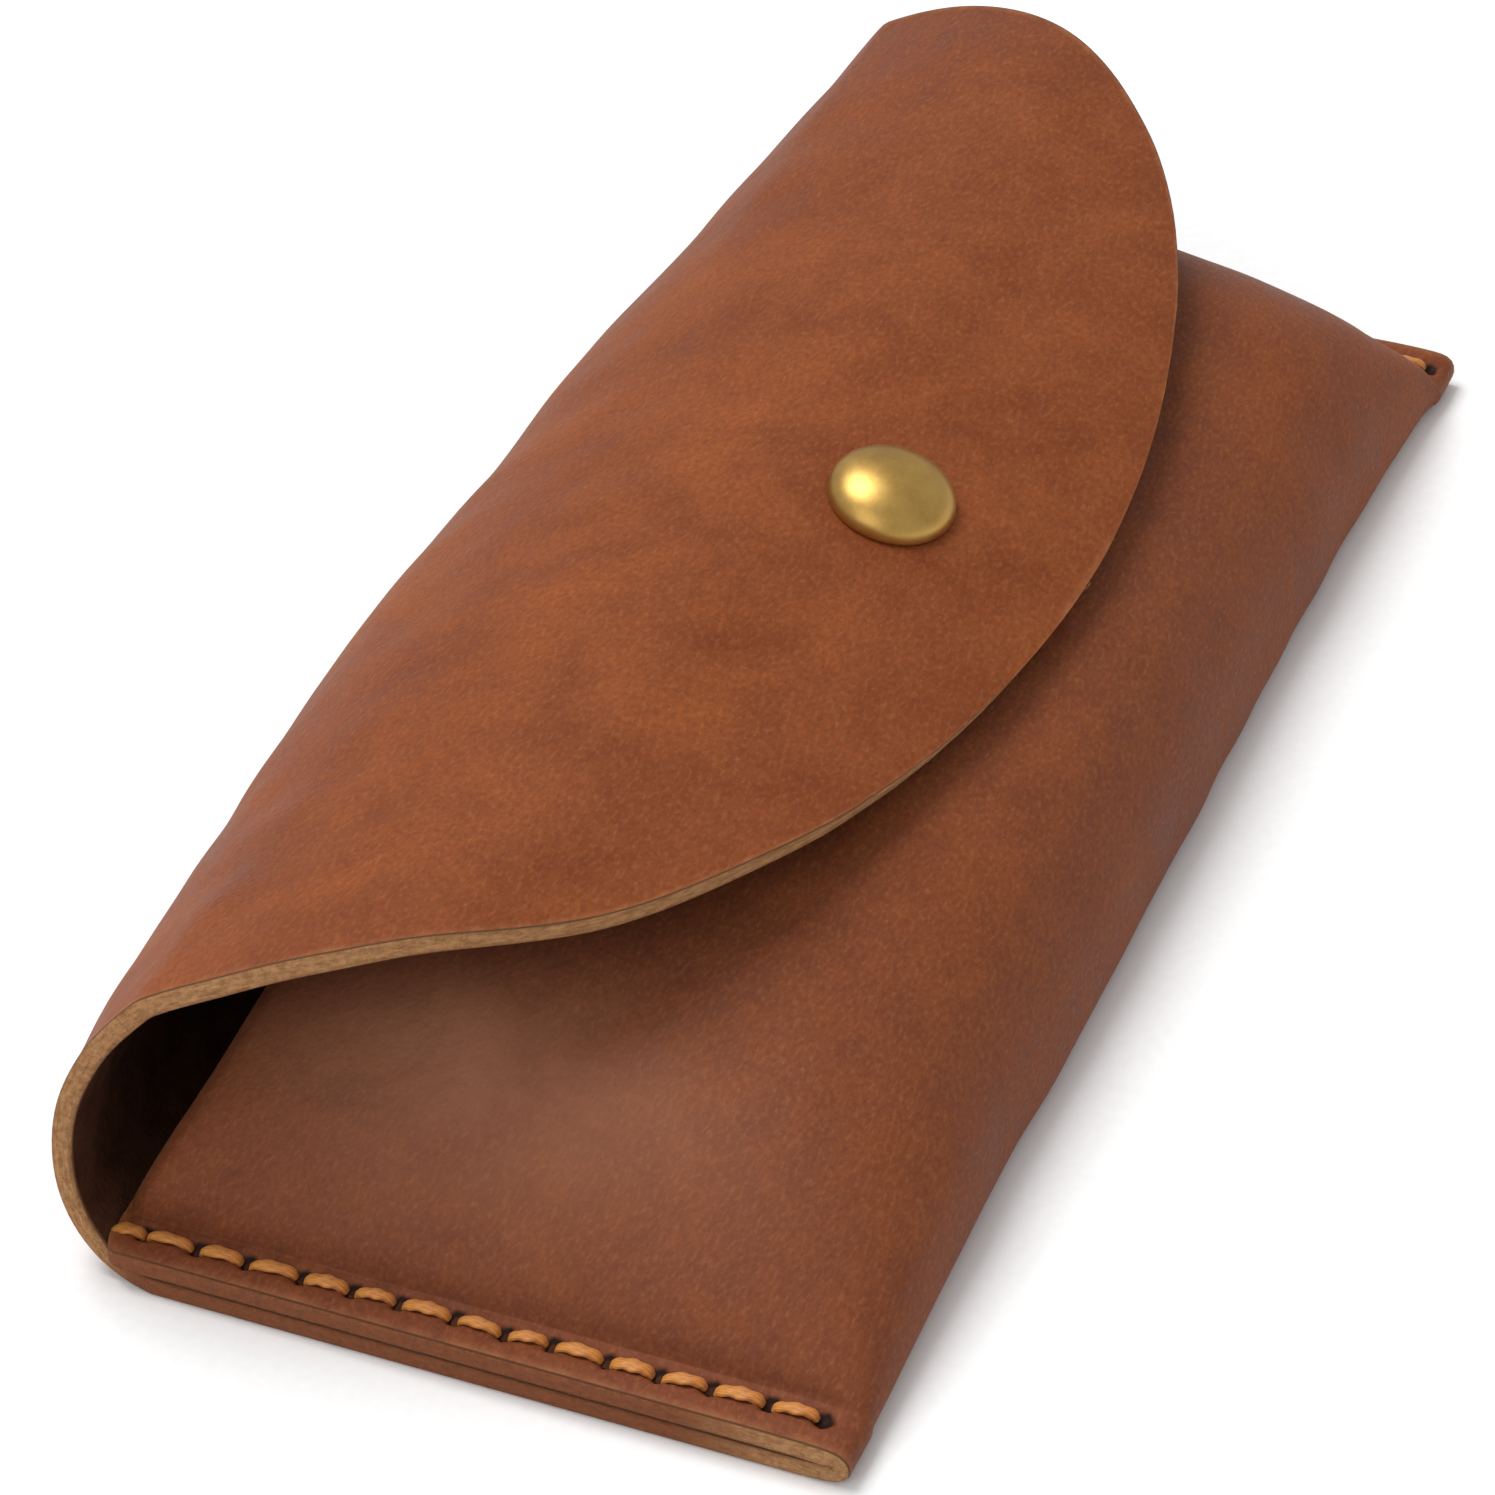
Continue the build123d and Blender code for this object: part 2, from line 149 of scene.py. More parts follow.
# section of a cut edge, as (distance out, depth under the skin)
EDGE_PROFILE = [(0.2, 0.08), (0.3, 0.35), (0.32, 0.7), (0.3, 1.0), (0.32, 1.3), (0.3, 1.65), (0.2, 1.92)]

# how close the grid's rows and columns stand
RAMP = 3.0                                  # the close columns run this far into the bulge
SEAM_COLUMNS, MIDDLE_COLUMNS = 30, 62
FRONT_ROWS, BACK_ROWS = 124, 82
BACK_LAP = (12, 6)                          # rows of the fold and of the roll that count as the back
SKIN_STEP = 1.05
# rows close up from this distance to the flap tip; the last stops this part of the skin short of it
TIP_AT, TIP_ROWS, TIP_LAST = 97.0, 16, 0.0004

rng = np.random.default_rng(7)


# ---------------------------------------------------------------- shape of the hide
def smoothstep(low, high, value):
    """0 below low, 1 above high, and smooth between."""
    t = np.clip((value - low) / (high - low), 0, 1)
    return t * t * (3 - 2 * t)


def rounded(points, rounds=4):
    """An open line with its corners cut again and again, its two ends kept."""
    line = np.array(points, float)
    for _ in range(rounds):
        inner = np.empty((2 * len(line) - 2, 2))
        inner[0::2] = line[:-1] * 0.75 + line[1:] * 0.25
        inner[1::2] = line[:-1] * 0.25 + line[1:] * 0.75
        line = np.vstack([line[:1], inner, line[-1:]])
    return line


def spaced(line, parts):
    """Points at parts (0 to 1) of an open line's length."""
    run = np.concatenate([[0], np.cumsum(np.linalg.norm(np.diff(line, axis=0), axis=1))])
    return np.stack([np.interp(parts * run[-1], run, line[:, i]) for i in (0, 1)], axis=-1)


FULL = rounded(FULL_LINE)
FLAT = rounded(FLAT_LINE)


def skin_section():
    """Distance along the skin, Y from the fold, Z and heading, close together."""
    step = 0.1
    spread = 4 * SKIN_SOFTNESS
    along = np.arange(0, SKIN_LENGTH + step / 2, step)
    marks = np.cumsum([0] + [length for length, _ in SKIN])
    turned = np.radians(np.cumsum([0] + [turn for _, turn in SKIN]))
    wide = np.arange(-spread, SKIN_LENGTH + spread, step)
    heading = np.interp(wide, marks, turned)
    reach = np.arange(-spread, spread + step, step)
    kernel = np.exp(-0.5 * (reach / SKIN_SOFTNESS) ** 2)
    soft = np.convolve(heading, kernel / kernel.sum(), mode="same")
    heading = np.interp(along, wide, np.where(wide > SKIN_LENGTH - spread, heading, soft))
    y = BACK_FLAT + np.concatenate([[0], np.cumsum(np.cos(heading[:-1]) * step)])
    z = np.concatenate([[0], np.cumsum(np.sin(heading[:-1]) * step)])
    return along, y, z, heading


SECTION = skin_section()


def skin(distance):
    """Y from the fold, Z and heading (radians) of the skin in the middle of the case."""
    return [np.interp(distance, SECTION[0], values) for values in SECTION[1:]]


def half_length(distance):
    """Half of the hide's length at a distance along the skin."""
    part = np.clip(distance / SKIN_LENGTH, 0, 1)
    return HALF * (1 - part**OUTLINE_P) ** (1 / OUTLINE_Q)


def skew(distance):
    """How far the flap's middle line stands to +X."""
    return FLAP_SKEW * np.clip(distance, 0, None) / SKIN_LENGTH


def fullness(x):
    """How full the pocket is at x, 0 at the seams and 1 in the middle."""
    part = np.clip(np.abs(x) / BULGE, 0, 1)
    near = (1 - part ** NEAR_FULL[0]) ** NEAR_FULL[1]
    far = (1 - part ** FAR_FULL[0]) ** FAR_FULL[1]
    return np.where(x < 0, near, far)


def waves(first, second, count, longest, shortest, seed):
    """Soft random relief from a sum of plane waves over two coordinates, about -1 to 1."""
    random = np.random.default_rng(seed)
    total = np.zeros_like(first)
    for _ in range(count):
        length = longest * (shortest / longest) ** random.random()
        angle = random.uniform(0, math.pi)
        phase = random.uniform(0, 2 * math.pi)
        reach = first * math.cos(angle) + second * math.sin(angle)
        total += math.sqrt(length / longest) * np.sin(2 * math.pi * reach / length + phase)
    return total / math.sqrt(count)


def column_places():
    """u from -1 to 1 along the case, closer together at the seams."""
    seam = np.linspace(HALF, BULGE - RAMP, SEAM_COLUMNS)
    middle = np.linspace(BULGE - RAMP, 0, MIDDLE_COLUMNS)[1:]
    half = np.concatenate([seam, middle])
    return np.concatenate([-half, half[-2::-1]]) / HALF


def row_places():
    """Parts of the front line, distances along the back, and distances along the skin."""
    front = np.linspace(0, 1, FRONT_ROWS)
    back = np.linspace(LINE_END, BACK_FLAT, BACK_ROWS)[1:]
    ends = [0.0, *PIECE_ENDS, TIP_AT]
    runs = []
    for low, high in zip(ends, ends[1:]):
        parts = max(2, round((high - low) / SKIN_STEP))
        runs.append(np.linspace(low, high, parts + 1)[1:])
    near_tip = SKIN_LENGTH * (1 - np.geomspace(1 - TIP_AT / SKIN_LENGTH, TIP_LAST, TIP_ROWS))[1:]
    return front, back, np.concatenate(runs + [near_tip])


u = column_places()
front_parts, back_y, skin_v = row_places()
front_rows, back_rows, skin_rows = len(front_parts), len(back_y), len(skin_v)
rows, columns = front_rows + back_rows + skin_rows, len(u)
FRONT_RUN = POCKET_WIDTH + 2 * LEATHER + LINE_END
v_of_row = np.concatenate([np.full(front_rows + back_rows, -1.0), skin_v])
s_of_row = np.concatenate([
    front_parts * FRONT_RUN,
    FRONT_RUN + back_y - LINE_END,
    FRONT_RUN + BACK_FLAT - LINE_END + skin_v,
])


def grid():
    """The outer skin as an array of rows, columns and XYZ."""
    points = np.zeros((rows, columns, 3))
    reach = HALF - EDGE_OUT
    # front panel and fold
    for column, place in enumerate(u):
        x = place * reach
        line = FLAT + fullness(x) * (FULL - FLAT)
        points[:front_rows, column, 1:] = spaced(line, front_parts)
    from_mouth = front_parts * FRONT_RUN
    cut = CORNER - np.sqrt(np.clip(CORNER**2 - np.clip(CORNER - from_mouth, 0, None) ** 2, 0, None))
    points[:front_rows, :, 0] = np.outer(reach - cut, u)
    # back panel
    part = slice(front_rows, front_rows + back_rows)
    points[part, :, 0] = u * reach
    points[part, :, 1] = back_y[:, None]
    # the fold is not quite straight
    part = slice(0, front_rows + back_rows)
    fold = np.interp(points[part, :, 0], *np.transpose(FOLD_LINE))
    points[part, :, 1] += fold * (1 - smoothstep(0, FOLD_REACH, points[part, :, 1]))
    # roll and flap
    part = slice(front_rows + back_rows, rows)
    across = np.outer(half_length(skin_v) - EDGE_OUT, u) + skew(skin_v)[:, None]
    bow = (across / HALF) ** 2
    inwards = np.where(across < 0, BARREL_IN[0], BARREL_IN[1]) * bow
    upwards = np.where(across < 0, BARREL_UP[0], BARREL_UP[1]) * bow
    y, z, _ = skin(skin_v)
    points[part, :, 0] = across
    points[part, :, 1] = y[:, None] - np.clip(y[:, None] - BACK_FLAT, 0, None) * inwards
    points[part, :, 2] = z[:, None] * (1 + upwards)
    return points


def outward(points):
    """Unit normals of the grid, away from the flesh side."""
    normals = np.cross(np.gradient(points, axis=0), np.gradient(points, axis=1))
    return normals / np.linalg.norm(normals, axis=-1, keepdims=True)


# the snap's own axis
snap_y, snap_z, snap_heading = skin(SNAP_AT)
socket_low, socket_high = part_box("snap_socket")
snap_origin = np.array([(socket_low.x + socket_high.x) / 2 / MM, snap_y, snap_z])
snap_axis = np.array([0, math.sin(snap_heading), -math.cos(snap_heading)])
FRONT_DEPTH = 5.4                           # outer skin of the flap to the skin of the front panel
SEAT, SEAT_FADE = 6.0, 16.0                 # radius of the flat seat, and where it has faded out
CAP_CLEAR = 5.0                             # no relief on the flap under the cap

# stitch holes of each seam
hole_y = FIRST_HOLE + STITCH * np.arange(STITCHES)
holes = {}
for name, side in (("near", -1), ("far", 1)):
    shift_x = rng.uniform(-HOLE_UNEVEN[0], HOLE_UNEVEN[0], STITCHES)
    shift_y = rng.uniform(-HOLE_UNEVEN[1], HOLE_UNEVEN[1], STITCHES)
    holes[name] = np.stack([side * (HALF - STITCH_MARGIN) + shift_x, hole_y + shift_y], axis=-1)

skin_grid = grid()
normals = outward(skin_grid)
x_grid, y_grid = skin_grid[..., 0], skin_grid[..., 1]
s_grid = np.repeat(s_of_row[:, None], columns, axis=1)
is_front = np.zeros((rows, columns), bool)
is_front[:front_rows] = True
is_back = np.zeros((rows, columns), bool)
is_back[front_rows - BACK_LAP[0]:front_rows + back_rows + BACK_LAP[1]] = True
in_bulge = fullness(x_grid)

# relief: none at the seams, and never outwards on the back, which lies on the table
relief = np.zeros((rows, columns))
for rise, count, longest, shortest, seed in RELIEF:
    relief += rise * waves(x_grid, s_grid, count, longest, shortest, seed)
free = smoothstep(0.0, 0.25, in_bulge)
relief *= np.where(is_front, free, 1.0) * smoothstep(0, 10, HALF - np.abs(x_grid) + 2)
relief = np.where(is_back & ~is_front, -BACK_SINK * np.abs(relief), relief)

# the front panel lies flat on the stud's flange
from_axis = skin_grid - snap_origin
height = from_axis @ snap_axis + FRONT_DEPTH
radial = np.linalg.norm(from_axis - (from_axis @ snap_axis)[..., None] * snap_axis, axis=-1)
seat = np.where(is_front, 1 - smoothstep(SEAT, SEAT_FADE, radial), 0)
relief = relief * (1 - seat) * np.where(v_of_row[:, None] > 0, smoothstep(CAP_CLEAR, SEAT_FADE, radial), 1)

# channels under the thread, and holes, whose mask also carries the painted shade inside them
channel = np.zeros((rows, columns))
hole = np.zeros((rows, columns))
for places in holes.values():
    seam_x = np.interp(y_grid, places[:, 1], places[:, 0])
    past_first, past_last = y_grid - places[0, 1], y_grid - places[-1, 1]
    ends = smoothstep(-1.5, 0.5, past_first) * smoothstep(-1.5, 0.5, 4 - past_last)
    across = np.abs(x_grid - seam_x)
    channel += np.where(is_front, FRONT_CHANNEL * np.exp(-((across / 0.8) ** 2)) * ends, 0)
    channel += np.where(is_back & ~is_front, BACK_CHANNEL * (1 - smoothstep(0.7, 1.25, across)) * ends, 0)
    for x, y in places:
        off = np.hypot((x_grid - x - HOLE_SHIFT) / HOLE_SIZE[0], (y_grid - y) / HOLE_SIZE[1])
        near = (1 - smoothstep(0.6, 1.35, off)) * (is_front | is_back)
        hole = np.maximum(hole, near)
channel += HOLE_DEPTH * hole
skin_grid = skin_grid - (height * seat)[..., None] * snap_axis + (relief - channel)[..., None] * normals
skin_grid[..., 2] = np.maximum(skin_grid[..., 2], np.where(is_back, 0.0, -1.0))
normals = outward(skin_grid)
flesh_grid = skin_grid - LEATHER * outward(grid())

# distance to the nearest cut edge, for wear
side_gap = (1 - np.abs(u))[None, :] * np.where(v_of_row > 0, half_length(v_of_row), HALF)[:, None]
end_gap = np.minimum(s_of_row, s_of_row[-1] - s_of_row)[:, None]
rim = np.minimum(side_gap, end_gap)


# ---------------------------------------------------------------- meshes
def cut_edge(line_out, line_in, away):
    """Rows of the rounded cut edge between the skin's border and the flesh side's border."""
    down = line_in - line_out
    down = down / np.linalg.norm(down, axis=-1, keepdims=True)
    away = away - (away * down).sum(-1, keepdims=True) * down
    away = away / np.linalg.norm(away, axis=-1, keepdims=True)
    thick = np.linalg.norm(line_in - line_out, axis=-1, keepdims=True) / LEATHER
    strips = []
    for out, depth in EDGE_PROFILE:
        rough = rng.normal(0, EDGE_ROUGH, (len(line_out), 1)) * (0.4 < depth < 1.8)
        strips.append(line_out + away * (out + rough) + down * depth * thick)
    return np.stack(strips)


def quads(index, flip=False):
    """Four corners for each cell of a grid of point numbers."""
    a, b, c, d = index[:-1, :-1], index[1:, :-1], index[1:, 1:], index[:-1, 1:]
    order = (d, c, b, a) if flip else (a, b, c, d)
    return np.stack([corner.ravel() for corner in order], axis=-1)


SIDES = {}
for name, column, inner in (("near", 0, 1), ("far", -1, -2)):
    away = skin_grid[:, column] - skin_grid[:, inner]
    SIDES[name] = cut_edge(skin_grid[:, column], flesh_grid[:, column], away)
MOUTH = cut_edge(skin_grid[0], flesh_grid[0], skin_grid[0] - skin_grid[1])
TIP = cut_edge(skin_grid[-1], flesh_grid[-1], skin_grid[-1] - skin_grid[-2])

hide_mesh = {"points": [], "uv": [], "hole": [], "rim": [], "faces": [], "slots": []}


def add_points(points, uv, hole_values, rim_values):
    """Adds points to the hide and gives their numbers."""
    start = sum(len(block) for block in hide_mesh["points"])
    hide_mesh["points"].append(points.reshape(-1, 3))
    hide_mesh["uv"].append(np.broadcast_to(uv, points.shape[:-1] + (2,)).reshape(-1, 2))
    hide_mesh["hole"].append(np.broadcast_to(hole_values, points.shape[:-1]).ravel())
    hide_mesh["rim"].append(np.broadcast_to(rim_values, points.shape[:-1]).ravel())
    return start + np.arange(int(np.prod(points.shape[:-1]))).reshape(points.shape[:-1])


# colour masks
off_x = (x_grid - SHEEN_PATCH_AT[0]) / SHEEN_PATCH_SIZE[0]
off_y = (y_grid - SHEEN_PATCH_AT[1]) / SHEEN_PATCH_SIZE[1]
# painted highlight on the front panel, standing in for the sheen of light there
sheen_patch_grid = SHEEN_PATCH_MOST * np.exp(-(off_x**2) - off_y**2) * is_front
# mauve cast and painted shade on the front panel and on the far part of the flap
mauve_shade_grid = np.where(is_front, 1.0, MAUVE_SHADE_FLAP * smoothstep(MAUVE_SHADE_FROM, MAUVE_SHADE_TO, x_grid))

# map coordinates: length along each row from its middle, and along the hide from the mouth
steps = np.linalg.norm(np.diff(skin_grid, axis=1), axis=-1)
along_row = np.concatenate([np.zeros((rows, 1)), np.cumsum(steps, axis=1)], axis=1)
uv_grid = np.stack([along_row - along_row[:, [columns // 2]], s_grid], axis=-1)
outer_index = add_points(skin_grid, uv_grid, hole, rim)
inner_index = add_points(flesh_grid, uv_grid, 0, 9)


def add_edge(strips, along, first, last, burnish=0.0):
    """Adds a cut edge's own points and gives its index rows with the two borders."""
    depth = np.array([depth for _, depth in EDGE_PROFILE])
    uv = np.stack(np.broadcast_arrays(along[None, :], depth[:, None]), axis=-1)
    index = add_points(strips, uv, 0, -np.broadcast_to(burnish, strips.shape[:2]))
    return np.vstack([first[None], index, last[None]]).T


# the pocket's end edges are rubbed smooth and dark, apart from a stretch at the fold
seam_y = y_grid[:, 0]
SEAM_BURNISH = smoothstep(4, 17, seam_y) * (1 - smoothstep(2, 12, v_of_row))

edge_index = {
    "near": add_edge(SIDES["near"], s_of_row, outer_index[:, 0], inner_index[:, 0], SEAM_BURNISH),
    "far": add_edge(SIDES["far"], s_of_row, outer_index[:, -1], inner_index[:, -1], SEAM_BURNISH),
    "mouth": add_edge(MOUTH, x_grid[0], outer_index[0], inner_index[0]),
    "tip": add_edge(TIP, x_grid[-1], outer_index[-1], inner_index[-1]),
}
all_points = np.concatenate(hide_mesh["points"])
all_uv = np.concatenate(hide_mesh["uv"])
all_hole = np.concatenate(hide_mesh["hole"])
all_rim = np.concatenate(hide_mesh["rim"])
all_sheen_patch = np.zeros(len(all_points))
all_sheen_patch[outer_index.ravel()] = sheen_patch_grid.ravel()
all_mauve_shade = np.zeros(len(all_points))
all_mauve_shade[outer_index.ravel()] = mauve_shade_grid.ravel()
GRAIN, FLESH, RAW = 0, 1, 2


def fan(corners):
    """Triangles of one flat polygon, each with its last corner twice."""
    return np.array([(corners[0], b, c, c) for b, c in zip(corners[1:], corners[2:])])


def cap(row, flip=False):
    """The section of the hide at one row, which closes a piece there."""
    near, far = edge_index["near"][row], edge_index["far"][row]
    across = quads(np.stack([outer_index[row], inner_index[row]]).T)
    near_fan = fan([near[0], *near[:0:-1]])
    far_fan = fan([far[-1], *far[:-1]])
    faces = np.concatenate([across, near_fan, far_fan])
    return faces[:, ::-1] if flip else faces


def hide_faces(first_row, last_row):
    """Faces and material slots of the hide between two rows."""
    span = slice(first_row, last_row + 1)
    parts = [
        (quads(outer_index[span]), GRAIN),
        (quads(inner_index[span], flip=True), FLESH),
        (quads(edge_index["far"][span]), RAW),
        (quads(edge_index["near"][span], flip=True), RAW),
    ]
    if first_row == 0:
        parts.append((quads(edge_index["mouth"]), RAW))
        near = np.stack([edge_index["near"][0], edge_index["mouth"][0]])
        far = np.stack([edge_index["mouth"][-1], edge_index["far"][0]])
        parts += [(quads(near), RAW), (quads(far), RAW)]
    if last_row == rows - 1:
        parts.append((quads(edge_index["tip"], flip=True), RAW))
        near = np.stack([edge_index["near"][-1], edge_index["tip"][0]])
        far = np.stack([edge_index["tip"][-1], edge_index["far"][-1]])
        parts += [(quads(near, flip=True), RAW), (quads(far, flip=True), RAW)]
    if first_row > 0:
        parts.append((cap(first_row), FLESH))
    if last_row < rows - 1:
        parts.append((cap(last_row, flip=True), FLESH))
    faces = np.concatenate([part for part, _ in parts])
    slots = np.concatenate([np.full(len(part), which) for part, which in parts])
    return faces, slots


def vertex_normals(points, faces):
    """Area-weighted vertex normals of a quad mesh."""
    a, b, c, d = (points[faces[:, i]] for i in range(4))
    face_normals = np.cross(c - a, d - b)
    total = np.zeros_like(points)
    for i in range(4):
        np.add.at(total, faces[:, i], face_normals)
    return total / np.maximum(np.linalg.norm(total, axis=1, keepdims=True), 1e-12)


def to_frame(points):
    """Metres in the shared frame, from millimetres with Y measured from the fold."""
    return (points - np.array([0, HALF_WIDTH, 0])) * MM


def new_object(name, points, faces, materials, slots=None, uv=None):
    """A smooth-shaded mesh object."""
    mesh = bpy.data.meshes.new(name)
    # a face with a repeated corner becomes a triangle
    corners = [tuple(dict.fromkeys(face)) for face in np.asarray(faces).tolist()]
    mesh.from_pydata(points.tolist(), [], corners)
    for material in materials:
        mesh.materials.append(material)
    if slots is not None:
        mesh.polygons.foreach_set("material_index", slots.astype(np.int32))
    mesh.polygons.foreach_set("use_smooth", np.full(len(mesh.polygons), True))
    if uv is not None:
        layer = mesh.uv_layers.new(name="hide")
        corner = np.empty(len(mesh.loops), np.int32)
        mesh.loops.foreach_get("vertex_index", corner)
        layer.data.foreach_set("uv", uv[corner].astype(np.float32).ravel())
    obj = bpy.data.objects.new(name, mesh)
    bpy.context.scene.collection.objects.link(obj)
    return obj


def add_values(obj, name, values):
    """Gives an object's points a value that its material reads."""
    attribute = obj.data.attributes.new(name, "FLOAT", "POINT")
    attribute.data.foreach_set("value", values.astype(np.float32))


whole_faces, _ = hide_faces(0, rows - 1)
whole_normals = vertex_normals(all_points, whole_faces)


def hide_piece(name, first_row, last_row, materials):
    """One piece of the hide, with the normals of the whole."""
    faces, slots = hide_faces(first_row, last_row)
    used, local = np.unique(faces, return_inverse=True)
    local = local.reshape(faces.shape)
    obj = new_object(name, to_frame(all_points[used]), local, materials, slots, all_uv[used] * MM)
    add_values(obj, "hole", all_hole[used])
    add_values(obj, "rim", all_rim[used])
    add_values(obj, "painted_sheen", all_sheen_patch[used])
    add_values(obj, "mauve_and_shade", all_mauve_shade[used])
    obj.data.normals_split_custom_set_from_vertices(whole_normals[used].tolist())
    return obj


# ---------------------------------------------------------------- materials
# scene-linear colours
HIDE_DEEP = (0.172, 0.0390, 0.0100)
HIDE_LIGHT = (0.285, 0.0740, 0.0185)
HIDE_DULL = (0.178, 0.0420, 0.0160)
# darker mauve colour, which is a mauve cast and also painted shade
HIDE_MAUVE_SHADE = (0.150, 0.0500, 0.0300)
HIDE_BRIGHT = (0.310, 0.0880, 0.0230)
HIDE_SPECK = (0.125, 0.0320, 0.0125)
HIDE_FIBRE = (0.380, 0.1500, 0.0650)
# colour of the painted highlight on the front panel
HIDE_PAINTED_SHEEN = (0.390, 0.1700, 0.0980)
HIDE_WORN = (0.400, 0.1700, 0.0750)
# painted shade inside the stitch holes
HOLE_SHADE = (0.020, 0.0060, 0.0035)
NAP_DEEP = (0.040, 0.0130, 0.0060)
NAP_LIGHT = (0.085, 0.0310, 0.0150)
NAP_TIP = (0.130, 0.0550, 0.0280)
CORE_DARK = (0.340, 0.1450, 0.0520)
CORE_PALE = (0.600, 0.3300, 0.1400)
CORE_SHADE = (0.160, 0.0620, 0.0260)
EDGE_BORDER = (0.170, 0.0600, 0.0240)
RUBBED_DARK = (0.150, 0.0420, 0.0160)
RUBBED_LIGHT = (0.270, 0.0800, 0.0270)
AMBER_DEEP = (0.330, 0.0850, 0.0130)
AMBER = (0.760, 0.2850, 0.0450)
AMBER_PALE = (0.680, 0.3000, 0.0400)
BRASS_DARK = (0.470, 0.2700, 0.0700)
BRASS_LIGHT = (0.580, 0.3600, 0.1000)
BRASS_WORN = (0.640, 0.4600, 0.1900)
STEEL_DARK = (0.33, 0.33, 0.34)
STEEL_LIGHT = (0.58, 0.58, 0.57)
PAPER_LOW = (0.93, 0.93, 0.93)
PAPER_HIGH = (0.96, 0.96, 0.96)


class Tree:
    """Short calls for building one node material."""

    def __init__(self, name):
        self.material = bpy.data.materials.new(name)
        self.material.use_nodes = True
        self.nodes = self.material.node_tree.nodes
        self.links = self.material.node_tree.links
        self.shader = self.nodes["Principled BSDF"]

    def node(self, kind, inputs=(), **values):
        made = self.nodes.new(kind)
        for key, value in values.items():
            setattr(made, key, value)
        for key, value in dict(inputs).items():
            if isinstance(value, bpy.types.NodeSocket):
                self.links.new(value, made.inputs[key])
            else:
                made.inputs[key].default_value = value
        return made

    def noise(self, vector, scale, detail=3.0, roughness=0.5, distortion=0.0):
        return self.node("ShaderNodeTexNoise", {
            "Vector": vector, "Scale": scale, "Detail": detail,
            "Roughness": roughness, "Distortion": distortion,
        }).outputs["Fac"]

    def stretched(self, vector, scale, turn=0.0):
        return self.node("ShaderNodeMapping", {
            "Vector": vector, "Scale": scale, "Rotation": (0, 0, math.radians(turn)),
        }).outputs["Vector"]

    def span(self, value, low, high, to_low=0.0, to_high=1.0):
        return self.node("ShaderNodeMapRange", {
            "Value": value, "From Min": low, "From Max": high, "To Min": to_low, "To Max": to_high,
        }).outputs["Result"]

    def mix(self, factor, first, second, blend="MIX"):
        made = self.nodes.new("ShaderNodeMix")
        made.data_type = "RGBA"
        made.blend_type = blend
        for socket, value in ((made.inputs[0], factor), (made.inputs[6], first), (made.inputs[7], second)):
            if isinstance(value, bpy.types.NodeSocket):
                self.links.new(value, socket)
            else:
                socket.default_value = value if isinstance(value, float) else (*value, 1.0)
        return made.outputs[2]

    def math(self, operation, first, second=0.0):
        made = self.nodes.new("ShaderNodeMath")
        made.operation = operation
        for socket, value in ((made.inputs[0], first), (made.inputs[1], second)):
            if isinstance(value, bpy.types.NodeSocket):
                self.links.new(value, socket)
            else:
                socket.default_value = value
        return made.outputs[0]

    def bump(self, height, strength, distance, normal=None):
        inputs = {"Height": height, "Strength": strength, "Distance": distance}
        if normal is not None:
            inputs["Normal"] = normal
        return self.node("ShaderNodeBump", inputs).outputs["Normal"]

    def attribute(self, name):
        return self.node("ShaderNodeAttribute", attribute_name=name).outputs["Fac"]

    def uv(self):
        return self.node("ShaderNodeUVMap", uv_map="hide").outputs["UV"]

    def set(self, **values):
        for key, value in values.items():
            socket = self.shader.inputs[key.replace("_", " ")]
            if isinstance(value, bpy.types.NodeSocket):
                self.links.new(value, socket)
            else:
                socket.default_value = value

    def finish(self, colour, roughness, normal):
        self.set(Base_Color=colour, Roughness=roughness, Normal=normal)


